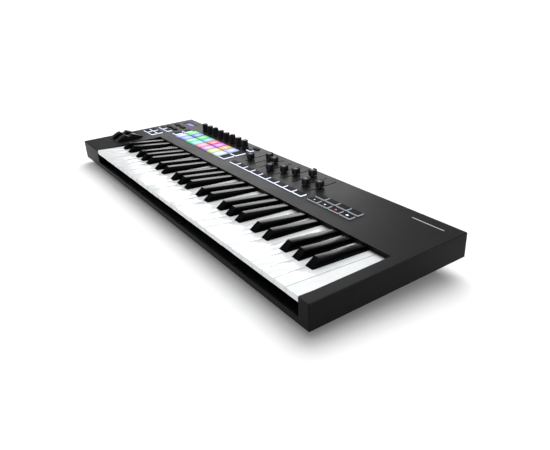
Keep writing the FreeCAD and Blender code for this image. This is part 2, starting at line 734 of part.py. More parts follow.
def make_keybed():
    body = doc.addObject("PartDesign::Body", "keybed_comb")
    floor = KEYBED_FLOOR
    deck = floor + 2
    comb = [
        (-91, floor), (34.2, floor), (34.2, 40), (32.2, 40), (32.2, deck), (15, deck), (15, 30), (7, 30),
        (7, deck), (-9, deck), (-9, 31), (-12, 31), (-12, deck), (-52, deck), (-52, 31), (-55, 31),
        (-55, 28.9), (-71, 28.9), (-71, 26.9), (-55, 26.9), (-55, deck), (-88, deck), (-88, 28.9),
        (-105, 28.9), (-105, 26.9), (-91, 26.9),
    ]
    pad(body, outline(body, "YZ_Plane", comb, bed_left), bed_right - bed_left)

    # ears that hold the pivot rod: one at each end and one at every octave
    octave_lines = [bed_left + octave * i for i in range(1, OCTAVES + 1)]
    ears = []
    ear_front, ear_rear = as_size(22.0), as_size(33.0)
    for x in [bed_left - 1.3] + octave_lines + [bed_right + 1.3]:
        ears.append(box("rod_ear", x - 0.8, x + 0.8, ear_front, ear_rear, as_size(34.0), as_size(45.0)))
    for x in (bed_left - 1.3, bed_right + 1.3):
        ears.append(box("rod_web", x - 0.8, x + 0.8, as_size(30.0), ear_rear, floor, as_size(35.0)))
    solid = fused("keybed_with_ears", [body] + ears)
    hole = primitive(
        "Cylinder", "rod_hole", (bed_left - 5, s.pivot_y, s.pivot_z),
        Radius=s.pivot_radius + s.running_gap, Height=bed_right - bed_left + 10,
    )
    hole.Placement.Rotation = LAY_ALONG_X
    holes = [post("keybed_hole", x, y, floor - 1, deck + 1, s.screw_radius + 0.05) for x, y in KEYBED_SCREWS]
    finish_part("keybed_frame", cut("keybed_frame", solid, together("keybed_holes", [hole] + holes)))

    rod = primitive(
        "Cylinder", "key_pivot_rod", (bed_left - 2.6, s.pivot_y, s.pivot_z),
        Radius=s.pivot_radius, Height=bed_right - bed_left + 5.2,
    )
    rod.Placement.Rotation = LAY_ALONG_X
    finish_part("key_pivot_rod", rod)

    strips = [
        ("white_down_felt", -105.0, -91.0, 28.9, 30.8),
        ("black_down_felt", -71.0, -58.0, 28.9, 33.0),
        ("white_up_felt", -105.0, -92.0, 25.3, 26.9),
        ("black_up_felt", -71.0, -58.0, 25.3, 26.9),
    ]
    felts = [
        box(name, bed_left, bed_right, as_size(y0), as_size(y1), as_size(z0), as_size(z1))
        for name, y0, y1, z0, z1 in strips
    ]
    grouped("key_stop_felts", felts)

    base = 31 + s.board_thickness
    board = box("key_contact_board", bed_left, bed_right, as_size(-55.0), as_size(-9.0), as_size(31.0), base)
    finish_part("key_contact_board", board)

    strip = box(
        "contact_base", bed_left, bed_right, as_size(CONTACT_LINE - 7), as_size(CONTACT_LINE + 7), base, base + 0.8
    )
    domes = [post("contact_dome", x, CONTACT_LINE, base + 0.4, base + 2.9, 3.2) for x in key_middles()]
    finish_part("rubber_contact_strip", fused("rubber_contact_strip", [strip] + domes))

    leaves = []
    for x in key_middles():
        sole = box(
            "leaf_sole", x - 2.5, x + 2.5, as_size(SPRING_LINE - 6), as_size(SPRING_LINE), as_size(30.0), as_size(30.5)
        )
        blade = box(
            "leaf_blade", x - 2.5, x + 2.5, as_size(SPRING_LINE - 0.5), as_size(SPRING_LINE), as_size(30.2), as_size(38.4)
        )
        leaves.append(fused("return_leaf", [sole, blade]))
    grouped("key_return_springs", leaves)


# ---------------------------------------------------------------- panel parts


def make_caps():
    """Button and pad groups: caps through the panel, each button with a flange that keeps it in."""
    top = s.case_height + s.cap_stand
    flange_high = panel_under - 0.4
    for name, loops in BUTTONS.items():
        caps = []
        for loop in loops:
            cap = block("cap", loop, s.cap_foot, top)
            flange = block("flange", grown(loop, s.flange_reach), flange_high - s.flange_thickness, flange_high)
            caps.append(fused("button", [cap, flange]))
        grouped(name, caps, DECK)
    for name, loops in PADS.items():
        grouped(name, [block("pad", loop, s.cap_foot, top) for loop in loops], DECK)


def make_knobs():
    for number, x in enumerate(pad_columns, start=1):
        body = new_body(f"knob_{number}")
        foot = s.case_height + s.knob_rise
        top = s.case_height + s.knob_height
        bore = s.shaft_radius + s.running_gap
        profile = [
            (bore, foot), (s.knob_radius, foot), (s.knob_radius, foot + 1.6), (s.knob_radius - 0.6, foot + 2.4),
            (s.knob_crown + 0.3, top - 0.8), (s.knob_crown - 0.5, top), (0, top), (0, top - 3), (bore, top - 3),
        ]
        sketch = outline(body, "XZ_Plane", profile)
        turned = body.newObject("PartDesign::Revolution", f"{body.Name}_turned")
        turned.Profile = sketch
        turned.ReferenceAxis = (sketch, ["V_Axis"])
        turned.Angle = 360
        local = FreeCAD.Placement(FreeCAD.Vector(x.value, s.knob_row.value, 0), FreeCAD.Rotation())
        body.Placement = DECK.multiply(local)

    pots = []
    for x in pad_columns:
        base = box("pot", x - 5.5, x + 5.5, s.knob_row - 6, s.knob_row + 6, s.board_top, s.board_top + 6.5)
        shaft = post("shaft", x, s.knob_row, s.board_top + 6, s.case_height + s.knob_height - 3.5, s.shaft_radius)
        pots.append(fused("knob_pot", [base, shaft]))
    grouped("knob_pots", pots, DECK)


def make_faders():
    track_floor = s.board_top + 1.5
    stem_low = track_floor + 1
    tracks = []
    for number, (x, rest) in enumerate(zip(fader_columns, FADER_REST), start=1):
        body = new_body(f"fader_cap_{number}")
        half = s.cap_length / 2
        low = s.case_height + 1.2
        high = s.case_height + s.cap_height
        side = [
            (rest - half, low), (rest + half, low), (rest + half, low + 2.5), (rest + half - 2.2, high),
            (rest + 1.6, high), (rest, high - 1.4), (rest - 1.6, high), (rest - half + 2.2, high),
            (rest - half, low + 2.5),
        ]
        pad(body, outline(body, "YZ_Plane", side, x - s.cap_width / 2), s.cap_width)
        stem = rect(x, as_size(rest), as_size(1.2), as_size(5.0))
        pad(body, outline(body, "XY_Plane", stem, stem_low), low + 1 - stem_low)
        body.Placement = DECK
        outer = span(x - 4.5, x + 4.5, s.slot_front - 3, s.slot_rear + 1.5)
        inner = span(x - 1.6, x + 1.6, s.slot_front - 1, s.slot_rear)
        track = block("track", outer, s.board_top, s.board_top + 7.5)
        tracks.append(cut("fader_track", track, block("track_groove", inner, track_floor, s.board_top + 9)))
    grouped("fader_tracks", tracks, DECK)


def make_wheels():
    """Two part-round wheels on one axle, in a cradle under the panel."""
    for label, x in (("pitch_wheel", s.wheel_first), ("modulation_wheel", s.wheel_second)):
        sector = primitive("Cylinder", "wheel_sector", Radius=s.wheel_radius, Height=s.wheel_width, Angle=154)
        sector.Placement.Rotation = FreeCAD.Rotation(FreeCAD.Vector(0, 0, 1), 103)
        hub = primitive("Cylinder", "wheel_hub", Radius=s.hub_radius, Height=s.wheel_width)
        beyond = s.wheel_width + 1
        bore = post("wheel_bore", 0, 0, -1, beyond, s.axle_radius + s.running_gap)
        notch = post("finger_notch", -(s.wheel_radius + 4), 0, -1, beyond, 8)
        wheel = cut(label, fused("wheel_blank", [sector, hub]), together("wheel_holes", [bore, notch]))
        middle = FreeCAD.Vector(x.value - s.wheel_width.value / 2, s.wheel_centre.value, s.wheel_axis.value)
        finish_part(label, wheel, DECK.multiply(FreeCAD.Placement(middle, LAY_ALONG_X)))

    reach = s.wheel_width / 2 + 1.4
    plate_lines = [s.wheel_first - reach, (s.wheel_first + s.wheel_second) / 2, s.wheel_second + reach]
    front, rear = s.wheel_centre - 12, s.wheel_centre + 12
    low = s.wheel_axis - s.hub_radius - 3.5
    tray = block("cradle_tray", span(plate_lines[0] - 0.7, plate_lines[2] + 0.7, front, rear), low, low + 2)
    plates = [block("cradle_plate", span(x - 0.7, x + 0.7, front, rear), low, panel_under) for x in plate_lines]
    length = plate_lines[2] - plate_lines[0] + 2
    hole = primitive(
        "Cylinder", "axle_hole", (plate_lines[0] - 3, s.wheel_centre, s.wheel_axis),
        Radius=s.axle_radius + s.running_gap, Height=length + 2,
    )
    hole.Placement.Rotation = LAY_ALONG_X
    finish_part("wheel_cradle", cut("wheel_cradle", fused("cradle_blank", [tray] + plates), hole), DECK)

    axle = primitive("Cylinder", "wheel_axle", Radius=s.axle_radius, Height=length)
    place = FreeCAD.Vector(plate_lines[0].value - 1, s.wheel_centre.value, s.wheel_axis.value)
    finish_part("wheel_axle", axle, DECK.multiply(FreeCAD.Placement(place, LAY_ALONG_X)))


def make_boards():
    body = doc.addObject("PartDesign::Body", "panel_board_blank")
    plan = [(-380, -2), (-322, -2), (-322, 34.6), (284, 34.6), (284, 119.6), (-380, 119.6)]
    under = s.board_top - s.board_thickness
    pad(body, outline(body, "XY_Plane", plan, under), s.board_thickness)
    holes = [post("board_hole", x, v, under - 1, s.board_top + 1, s.screw_radius + 0.2) for x, v in BOSS_PLACES]
    finish_part("panel_board", cut("panel_board", body, together("board_holes", holes)), DECK)

    low = MAIN_BOARD_LOW
    board = box(
        "board_blank", as_size(-345.0), as_size(-190.0), as_size(70.0), as_size(118.0), low, low + s.board_thickness
    )
    grouped("main_board", [board], DECK)

    x, v = as_size(DISPLAY[0]), as_size(DISPLAY[1])
    glass = s.case_height - 0.7
    window = block("window_blank", rect(x, v, WINDOW_WIDTH - 0.2, WINDOW_DEPTH - 0.2), glass - 1.5, glass)
    grouped("display_window", [window], DECK)
    module = block(
        "module_blank", rect(x, v, WINDOW_WIDTH + 2, WINDOW_DEPTH + 4), s.board_top, panel_under - 0.1
    )
    grouped("display_module", [module], DECK)


def make_sockets():
    """Three sockets on the main board, mouths at the rear wall."""
    deck_low = MAIN_BOARD_LOW + s.board_thickness
    face = half_depth - 0.6
    height = as_size(PORT_HEIGHT)

    def barrel(name, x, depth, radius, start=0.0):
        """A cylinder along the slope that starts behind the sockets' face and runs inwards."""
        feature = primitive("Cylinder", name, (x, face - start, height), Radius=radius, Height=depth)
        feature.Placement.Rotation = FreeCAD.Rotation(FreeCAD.Vector(1, 0, 0), 90)
        return feature

    x = as_size(USB_X)
    shell = box("usb_shell", x - 6, x + 6, face - 16, face, height - 5.4, height + 5.4)
    foot = box("usb_foot", x - 6, x + 6, face - 16, face - 12, deck_low, height)
    mouth = box("usb_mouth", x - 4.25, x + 4.25, face - 9, face + 1, height - 3.9, height + 3.9)
    tongue = box("usb_tongue", x - 2.8, x + 2.8, face - 9.5, face - 2, height - 0.7, height + 1.9)
    hollow = cut("usb_hollow", fused("usb_block", [shell, foot]), mouth)
    finish_part("usb_socket", fused("usb_socket", [hollow, tongue]), DECK)

    x = as_size(MIDI_X)
    cheek = box("midi_block", x - 9, x + 9, face - 20, face - 8, deck_low, height + 7.4)
    groove = cut("midi_groove", barrel("midi_well", x, 8, 7.4, -0.5), barrel("midi_core", x, 9, 5.4, -1))
    pins = []
    for turn in (0, 45, 90, 135, 180):
        angle = math.radians(turn)
        pin = barrel("midi_pin", x + 3.6 * math.cos(angle), 7.5, 0.9, -0.5)
        pin.setExpression("Placement.Base.z", (height + 3.6 * math.sin(angle)).text)
        pins.append(pin)
    solid = fused("midi_solid", [barrel("midi_nose", x, 8.6, 9.0), cheek])
    finish_part("midi_out_socket", cut("midi_out_socket", solid, together("midi_holes", [groove] + pins)), DECK)

    x = as_size(JACK_X)
    case = box("jack_block", x - 7, x + 7, face - 25.2, face - 3.2, deck_low, height + 7)
    solid = fused("jack_solid", [barrel("jack_nose", x, 4, 4.9), case])
    finish_part("sustain_jack", cut("sustain_jack", solid, barrel("jack_bore", x, 22.5, 3.25, -0.5)), DECK)


def make_feet_and_screws():
    feet = []
    for number, (x, y) in enumerate([(-352, -90), (352, -90), (-352, 84), (352, 84), (0, -90), (0, 84)], start=1):
        tread = primitive(
            "Cone", f"foot_{number}", (x, y, 0), Radius1=s.foot_radius - 1, Radius2=s.foot_radius, Height=s.floor_height
        )
        feet.append(tread)
    grouped("rubber_feet", feet)

    def screw(name, place, length):
        head = primitive("Cylinder", f"{name}_head", Radius=s.screw_head, Height=2)
        shank = primitive("Cylinder", f"{name}_shank", (0, 0, 1), Radius=s.screw_radius, Height=length)
        driver = primitive("Box", f"{name}_slot", (-2, -0.4, -1), Length=4, Width=0.8, Height=1.8)
        whole = cut(name, fused(f"{name}_blank", [head, shank]), driver)
        whole.Placement = place
        return whole

    screws = []
    for number, (x, v) in enumerate(REAR_SCREWS + CHEEK_SCREWS + RAIL_SCREWS, start=1):
        place = DECK.multiply(FreeCAD.Placement(FreeCAD.Vector(x, v, -2.0), FreeCAD.Rotation()))
        screws.append(screw(f"case_screw_{number}", place, 8))
    for number, (x, y) in enumerate(KEYBED_SCREWS, start=1):
        height = s.floor_height.value + 1.95
        place = FreeCAD.Placement(FreeCAD.Vector(x, y, height), FreeCAD.Rotation())
        screws.append(screw(f"keybed_screw_{number}", place, 9))
    grouped("case_screws", screws)

    screws = []
    under = s.board_top.value - s.board_thickness.value
    for number, (x, v) in enumerate(BOSS_PLACES, start=1):
        place = DECK.multiply(FreeCAD.Placement(FreeCAD.Vector(x, v, under - 2.05), FreeCAD.Rotation()))
        screws.append(screw(f"board_screw_{number}", place, 7))
    grouped("board_screws", screws)


make_top_case()
make_bottom_case()
make_keys()
make_keybed()
make_caps()
make_knobs()
make_faders()
make_wheels()
make_boards()
make_sockets()
make_feet_and_screws()
doc.recompute()

for feature in doc.Objects:
    if "Invalid" in feature.State or "Error" in feature.State:
        raise RuntimeError(f"{feature.Label} failed: {feature.State}")
for label, feature in parts.items():
    if feature.Shape.isNull() or not feature.Shape.isValid():
        raise RuntimeError(f"{label} has a faulty shape")
for label, feature in parts.items():
    feature.Shape.exportStep(f"parts/{label}.step")
print(len(parts), "parts written")
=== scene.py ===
import math

import bmesh
import bpy
from mathutils import Matrix, Vector


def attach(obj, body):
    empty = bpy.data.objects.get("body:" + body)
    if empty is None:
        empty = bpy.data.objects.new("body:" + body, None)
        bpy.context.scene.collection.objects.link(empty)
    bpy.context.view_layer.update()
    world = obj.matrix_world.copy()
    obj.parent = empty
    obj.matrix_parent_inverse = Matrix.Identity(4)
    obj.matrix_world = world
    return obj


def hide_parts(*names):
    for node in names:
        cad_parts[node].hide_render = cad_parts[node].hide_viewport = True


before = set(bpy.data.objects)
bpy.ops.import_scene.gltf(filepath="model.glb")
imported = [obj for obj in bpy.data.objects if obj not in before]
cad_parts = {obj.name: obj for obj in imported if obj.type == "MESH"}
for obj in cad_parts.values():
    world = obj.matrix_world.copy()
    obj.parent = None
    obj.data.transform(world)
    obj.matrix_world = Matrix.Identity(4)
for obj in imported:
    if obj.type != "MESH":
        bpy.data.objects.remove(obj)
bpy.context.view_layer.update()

# A 49-note controller keyboard. X runs from bass to treble, Y from the player to the rear, Z up.
# The case and panel lean towards the player: their pieces are drawn square in the "deck" frame, in mm, with
# v up the slope and w square to it. Keys are level.

MM = 0.001
LEAN = math.radians(3.3)
CASE_DEPTH = 258.0
CASE_HEIGHT = 35.4
FRONT_LIFT = 11.5
deck_origin = Vector((0, CASE_HEIGHT / 2, FRONT_LIFT)) * MM
deck_origin.y *= math.sin(LEAN)
deck_origin.z += CASE_DEPTH / 2 * math.sin(LEAN) * MM
LEVEL = Matrix.Scale(MM, 4)
DECK = Matrix.Translation(deck_origin) @ Matrix.Rotation(LEAN, 4, "X") @ LEVEL

PANEL = CASE_HEIGHT


# ---------------------------------------------------------------- materials


def srgb(code):
    """Linear colour of a hex code."""
    channels = [int(code[i:i + 2], 16) / 255 for i in (1, 3, 5)]
    return [c / 12.92 if c <= 0.04045 else ((c + 0.055) / 1.055) ** 2.4 for c in channels] + [1.0]


def add(tree, kind, values=None, links=None, **settings):
    """Adds a shader node with its settings, socket values and links."""
    made = tree.nodes.new(kind)
    for name, value in settings.items():
        setattr(made, name, value)
    for socket, value in (values or {}).items():
        made.inputs[socket].default_value = value
    for socket, source in (links or {}).items():
        tree.links.new(source, made.inputs[socket])
    return made


def begin(name, sockets):
    """A material with a Principled shader; returns the material, its tree and the shader."""
    finish = bpy.data.materials.new(name)
    finish.use_nodes = True
    tree = finish.node_tree
    tree.nodes.clear()
    shader = add(tree, "ShaderNodeBsdfPrincipled", sockets)
    add(tree, "ShaderNodeOutputMaterial", links={"Surface": shader.outputs["BSDF"]})
    return finish, tree, shader


def moulded(name, dark, light, roughness, grain, relief, stretch=(1, 1, 1), drift=0.06, **sockets):
    """A moulded or machined surface: grain (in mm) in its colour and relief, and a slow drift in gloss."""
    finish, tree, shader = begin(name, {key.replace("_", " "): value for key, value in sockets.items()})
    place = add(tree, "ShaderNodeTexCoord")
    turned = add(tree, "ShaderNodeMapping", {"Scale": stretch}, {"Vector": place.outputs["Object"]})
    fine = add(
        tree, "ShaderNodeTexNoise", {"Scale": 1 / (grain * MM), "Detail": 3.0, "Roughness": 0.6},
        {"Vector": turned.outputs["Vector"]},
    )
    slow = add(
        tree, "ShaderNodeTexNoise", {"Scale": 1 / (70 * MM), "Detail": 1.0},
        {"Vector": place.outputs["Object"]},
    )
    spread = add(
        tree, "ShaderNodeMapRange", {"From Min": 0.3, "From Max": 0.7}, {"Value": fine.outputs["Fac"]}
    )
    tint = add(
        tree, "ShaderNodeMix", {6: srgb(dark), 7: srgb(light)}, {0: spread.outputs["Result"]},
        data_type="RGBA",
    )
    gloss = add(
        tree, "ShaderNodeMapRange", {"To Min": roughness - drift, "To Max": roughness + drift},
        {"Value": slow.outputs["Fac"]},
    )
    bump = add(
        tree, "ShaderNodeBump", {"Strength": relief, "Distance": 0.25 * grain * MM},
        {"Height": fine.outputs["Fac"]},
    )
    tree.links.new(tint.outputs[2], shader.inputs["Base Color"])
    tree.links.new(gloss.outputs["Result"], shader.inputs["Roughness"])
    tree.links.new(bump.outputs["Normal"], shader.inputs["Normal"])
    return finish


def lit(name, body, glow, strength):
    """Translucent moulding lit evenly from inside; returns the material, its tree, shader and coordinates."""
    finish, tree, shader = begin(name, {
        "Base Color": srgb(body), "Emission Color": srgb(glow), "Emission Strength": strength,
        "Roughness": 0.42, "IOR": 1.41,
    })
    place = add(tree, "ShaderNodeTexCoord")
    cloud = add(
        tree, "ShaderNodeTexNoise", {"Scale": 1 / (1.2 * MM), "Detail": 2.0},
        {"Vector": place.outputs["Object"]},
    )
    bump = add(
        tree, "ShaderNodeBump", {"Strength": 0.1, "Distance": 0.1 * MM}, {"Height": cloud.outputs["Fac"]}
    )
    tree.links.new(bump.outputs["Normal"], shader.inputs["Normal"])
    return finish, tree, shader, place


def lamp_lit(name, body, glow, lamp, reach, strength, edge):
    """Silicone over a lamp (its place and reach in mm): strongest, and whitest, over the lamp."""
    finish, tree, shader, place = lit(name, body, glow, strength)
    offset = [-along / reach for along in lamp]
    spot = add(
        tree, "ShaderNodeMapping", {"Location": offset, "Scale": [1 / (reach * MM)] * 3},
        {"Vector": place.outputs["Object"]},
    )
    ball = add(
        tree, "ShaderNodeTexGradient", links={"Vector": spot.outputs["Vector"]}, gradient_type="SPHERICAL"
    )
    whitening = add(tree, "ShaderNodeMapRange", {"To Max": 0.5}, {"Value": ball.outputs["Fac"]})
    hot = add(
        tree, "ShaderNodeMix", {6: srgb(glow), 7: srgb("#ffffff")}, {0: whitening.outputs["Result"]},
        data_type="RGBA",
    )
    level = add(
        tree, "ShaderNodeMapRange", {"To Min": strength * edge, "To Max": strength},
        {"Value": ball.outputs["Fac"]},
    )
    tree.links.new(hot.outputs[2], shader.inputs["Emission Color"])
    tree.links.new(level.outputs["Result"], shader.inputs["Emission Strength"])
    return finish


# ABS with a spark-eroded texture: a dull dark grey with a fine speckle; the grain is drawn coarse to show
case_abs = moulded("textured_abs", "#070708", "#161617", 0.42, 0.9, 0.6, Specular_IOR_Level=0.05, IOR=1.53)
# the same ABS from a plain tool, inside and below: darker and smoother
inner_abs = moulded("plain_abs", "#050506", "#08080a", 0.6, 1.4, 0.15, Specular_IOR_Level=0.1, IOR=1.53)
# polished ABS of the white keys: clean gloss with a faint cloudiness
white_abs = moulded(
    "polished_white_abs", "#e6e9eb", "#eef0f1", 0.2, 9.0, 0.02, drift=0.05, IOR=1.53, Coat_Weight=0.25,
    Coat_Roughness=0.08,
)
# satin ABS of the black keys: a grey sheen along the tops and edges
black_abs = moulded(
    "satin_black_abs", "#030304", "#060607", 0.18, 0.8, 0.05, drift=0.03, IOR=1.53, Specular_IOR_Level=0.07
)
# soft-touch paint on the knobs: dull, nearly black
soft_abs = moulded("soft_touch_abs", "#040405", "#0a0a0c", 0.4, 0.6, 0.2, IOR=1.5, Specular_IOR_Level=0.35)
# bare moulded ABS of the fader caps: a dark grey core between fins painted a lighter grey, a painted
# highlight standing in for the light their edges catch
painted_highlight_fin_abs = moulded("fin_abs_with_painted_highlight", "#3e3e43", "#4e4e54", 0.5, 0.7, 0.15, IOR=1.53, Specular_IOR_Level=0.2)
cap_abs = moulded("dark_grey_abs", "#19191c", "#222226", 0.5, 0.7, 0.15, IOR=1.53, Specular_IOR_Level=0.2)
# thermoplastic rubber of the wheels: dull with a broad sheen
wheel_rubber = moulded("wheel_rubber", "#020203", "#060607", 0.34, 0.7, 0.2, IOR=1.5, Specular_IOR_Level=0.3)
# dark silicone of the caps' faces
cap_silicone = moulded(
    "dark_silicone", "#020203", "#060607", 0.55, 0.7, 0.15, IOR=1.41, Specular_IOR_Level=0.05
)
# moulded rubber of the feet and contact strip
foot_rubber = moulded("foot_rubber", "#101010", "#1a1a1a", 0.75, 0.8, 0.4, IOR=1.5)
# turned and plated steel: bright, with fine rings drawn as stretched grain
plated_steel = moulded("plated_steel", "#a9abad", "#c9cbcd", 0.26, 0.5, 0.1, (1, 1, 12), Metallic=1.0)
# blackened screws: dark metal with a soft gleam
black_steel = moulded("black_oxide_steel", "#1d1e20", "#2c2d30", 0.38, 0.4, 0.15, Metallic=0.9)
# rolled spring steel strip: grain along the strip
spring_steel = moulded("rolled_spring_steel", "#8c8f92", "#b4b6b8", 0.3, 0.4, 0.15, (1, 8, 1), Metallic=1.0)
# pressed wool felt: dark, fully matt, with short fibres
pressed_felt = moulded(
    "pressed_felt", "#1a0d0e", "#2c1517", 0.95, 0.5, 0.8, (1, 3, 3), drift=0.03, Sheen_Weight=0.5,
    Specular_IOR_Level=0.1,
)
# glass-fibre laminate under solder mask: satin dark green with a woven undertone
solder_mask = moulded("solder_mask_laminate", "#0c3320", "#124a2e", 0.35, 1.1, 0.2, (1, 1, 4), IOR=1.55)
# pressed tinplate of the knobs' pots: grey metal with a rolled grain
pressed_tin = moulded("pressed_tinplate", "#7b7d80", "#96989b", 0.34, 0.6, 0.15, (8, 1, 1), Metallic=1.0)
# acrylic window over the display: a smooth smoked sheet, almost black
window_acrylic = moulded(
    "tinted_acrylic", "#050508", "#08080d", 0.4, 6.0, 0.01, drift=0.03, IOR=1.49, Specular_IOR_Level=0.05
)
# pad-printed ink: matt pale grey
print_ink = moulded("pad_printed_ink", "#b9bbbd", "#cfd0d2", 0.6, 0.7, 0.05)


# ---------------------------------------------------------------- modelling helpers


def solids(node, place=DECK):
    """Boxes (low, high) of a CAD node's separate solids, in mm in the given frame, sorted by x and then v."""
    mesh = bmesh.new()
    mesh.from_mesh(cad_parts[node].data)
    bmesh.ops.remove_doubles(mesh, verts=mesh.verts, dist=1e-6)
    mesh.transform(place.inverted())
    unseen = set(mesh.verts)
    boxes = []
    while unseen:
        group = [unseen.pop()]
        for vert in group:
            near = {edge.other_vert(vert) for edge in vert.link_edges} & unseen
            unseen -= near
            group.extend(near)
        low = Vector([min(vert.co[axis] for vert in group) for axis in range(3)])
        high = Vector([max(vert.co[axis] for vert in group) for axis in range(3)])
        boxes.append((low, high))
    mesh.free()
    return sorted(boxes, key=lambda box: (round(box[0].x), round(box[0].y)))


def finish_piece(name, mesh, body, finishes, stands_for=(), place=DECK, crease=35, turn_out=True):
    """Puts a bmesh in its place as a smooth-shaded piece of the object."""
    mesh.transform(place)
    if turn_out:
        bmesh.ops.recalc_face_normals(mesh, faces=mesh.faces)
    for face in mesh.faces:
        face.smooth = True
    data = bpy.data.meshes.new(name)
    mesh.to_mesh(data)
    mesh.free()
    data.set_sharp_from_angle(angle=math.radians(crease))
    for finish in finishes:
        data.materials.append(finish)
    piece = bpy.data.objects.new(name, data)
    bpy.context.scene.collection.objects.link(piece)
    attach(piece, body)
    if stands_for:
        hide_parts(*stands_for)
    return piece


def bevel(mesh, edges, reach, segments=3):
    return bmesh.ops.bevel(
        mesh, geom=edges, offset=reach, offset_type="OFFSET", segments=segments, profile=0.5, affect="EDGES",
        material=-1, clamp_overlap=True,
    )


def softened(node, reach, segments, wanted, place=DECK):
    """A copy of a CAD node in mm, its flat faces made whole and its wanted sharp edges rounded."""
    mesh = bmesh.new()
    mesh.from_mesh(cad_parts[node].data)
    mesh.transform(place.inverted())
    bmesh.ops.remove_doubles(mesh, verts=mesh.verts, dist=1e-4)
    bmesh.ops.dissolve_limit(mesh, angle_limit=math.radians(0.5), verts=mesh.verts, edges=mesh.edges)
    edges = [
        edge for edge in mesh.edges
        if len(edge.link_faces) == 2 and edge.calc_face_angle() > math.radians(30) and wanted(edge)
    ]
    bevel(mesh, edges, reach, segments)
    return mesh


def base_face(mesh, centre, half, corner=0.0, w=0.0, segments=5):
    """A flat rectangle about a centre, its corners rounded."""
    made = bmesh.ops.create_grid(mesh, x_segments=1, y_segments=1, size=1)
    verts = made["verts"]
    bmesh.ops.scale(mesh, vec=(half[0], half[1], 1), verts=verts)
    bmesh.ops.translate(mesh, vec=(centre[0], centre[1], w), verts=verts)
    face = verts[0].link_faces[0]
    if corner:
        bmesh.ops.bevel(
            mesh, geom=verts, offset=corner, offset_type="OFFSET", segments=segments, profile=0.5,
            affect="VERTICES", material=-1,
        )
        middle = Vector((*centre, w))
        face = next(found for found in mesh.faces if (found.calc_center_median() - middle).length < 1e-3)
    return face


def disc_face(mesh, centre, radius, w=0.0, segments=48):
    made = bmesh.ops.create_circle(mesh, cap_ends=True, radius=radius, segments=segments)
    bmesh.ops.translate(mesh, vec=(centre[0], centre[1], w), verts=made["verts"])
    return made["verts"][0].link_faces[0]


def rise(mesh, face, centre, levels, start):
    """Raises a flat face through levels of (half width, half depth, height); returns each step's side faces.

    start is the face's own (half width, half depth)."""
    steps = []
    width, depth = start
    for next_width, next_depth, height in levels:
        known = set(mesh.faces)
        made = bmesh.ops.extrude_face_region(mesh, geom=[face])
        face = next(item for item in made["geom"] if isinstance(item, bmesh.types.BMFace))
        middle = Matrix.Translation((-centre[0], -centre[1], 0))
        bmesh.ops.scale(
            mesh, vec=(next_width / width, next_depth / depth, 1), space=middle, verts=list(face.verts)
        )
        bmesh.ops.translate(mesh, vec=(0, 0, height - face.verts[0].co.z), verts=list(face.verts))
        steps.append([side for side in mesh.faces if side not in known and side is not face])
        width, depth = next_width, next_depth
    return face, steps


def raised(mesh, centre, half, levels, corner):
    """A rounded block built up from its lowest level; returns its top face and each step's side faces."""
    first = levels[0]
    face = base_face(mesh, centre, (half[0] + first[0], half[1] + first[0]), corner, first[1])
    sizes = [(half[0] + reach, half[1] + reach, w) for reach, w in levels[1:]]
    return rise(mesh, face, centre, sizes, (half[0] + first[0], half[1] + first[0]))


def middle_and_half(low, high, trim=0.0):
    centre = ((low.x + high.x) / 2, (low.y + high.y) / 2)
    return centre, ((high.x - low.x) / 2 - trim, (high.y - low.y) / 2 - trim)


# ---------------------------------------------------------------- case


TOP_EDGES = PANEL - 1.3


def near_top(edge):
    return all(vert.co.z > TOP_EDGES for vert in edge.verts)


case_mesh = softened("top_case", 0.3, 2, near_top)
finish_piece("case_shell", case_mesh, "case", [case_abs], ["top_case"], turn_out=False)

# ---------------------------------------------------------------- keys

WHITE_TOP = 39.0
LIP_DEPTH = 11.0
BLACK_TOP = 47.2


def white_lip(edge):
    return all(vert.co.z > WHITE_TOP and vert.co.y < LIP_DEPTH for vert in edge.verts)


def black_crest(edge):
    return all(vert.co.z > BLACK_TOP for vert in edge.verts)


for note in ("c", "d", "e", "f", "g", "a", "b"):
    node = f"key_{note}"
    keys = softened(node, 0.55, 3, white_lip, LEVEL)
    finish_piece(f"white_keys_{note}", keys, node, [white_abs], [node], LEVEL, turn_out=False)
for note in ("c_sharp", "d_sharp", "f_sharp", "g_sharp", "a_sharp"):
    node = f"key_{note}"
    keys = softened(node, 0.9, 4, black_crest, LEVEL)
    finish_piece(f"black_keys_{note}", keys, node, [black_abs], [node], LEVEL, turn_out=False)

# ---------------------------------------------------------------- pads

PAD_LIGHTS = {
    "pad_row_upper": ["#10e010", "#1858f0", "#12d81a", "#10c8d8", "#e81838", "#c828f0", "#e89a10", "#a8b8f8"],
    "pad_row_lower": ["#a0b0e8", "#6a80f4", "#50e088", "#40d8e0", "#f06088", "#c070f0", "#c8d860", "#c0dcf8"],
}
LAMP_REACH = {"pad_row_upper": 9.0, "pad_row_lower": 12.0}
LAMP_STRENGTH, LAMP_EDGE = 1.05, 0.78
PAD_CORNER = 1.6
for node, lights in PAD_LIGHTS.items():
    mesh = bmesh.new()
    finishes = []
    for number, ((low, high), light) in enumerate(zip(solids(node), lights)):
        centre, half = middle_and_half(low, high)
        known = set(mesh.faces)
        raised(
            mesh, centre, half,
            [(0, low.z), (0, high.z - 0.9), (-0.15, high.z - 0.45), (-0.5, high.z - 0.12), (-1.1, high.z)],
            PAD_CORNER,
        )
        for face in mesh.faces:
            if face not in known:
                face.material_index = number
        lamp = DECK @ Vector((*centre, high.z)) / MM
        finish = f"lit_silicone_{node}_{number + 1}"
        finishes.append(lamp_lit(finish, "#1c1e22", light, lamp, LAMP_REACH[node], LAMP_STRENGTH, LAMP_EDGE))
    finish_piece(f"{node}_pads", mesh, node, finishes, [node])

# ---------------------------------------------------------------- buttons

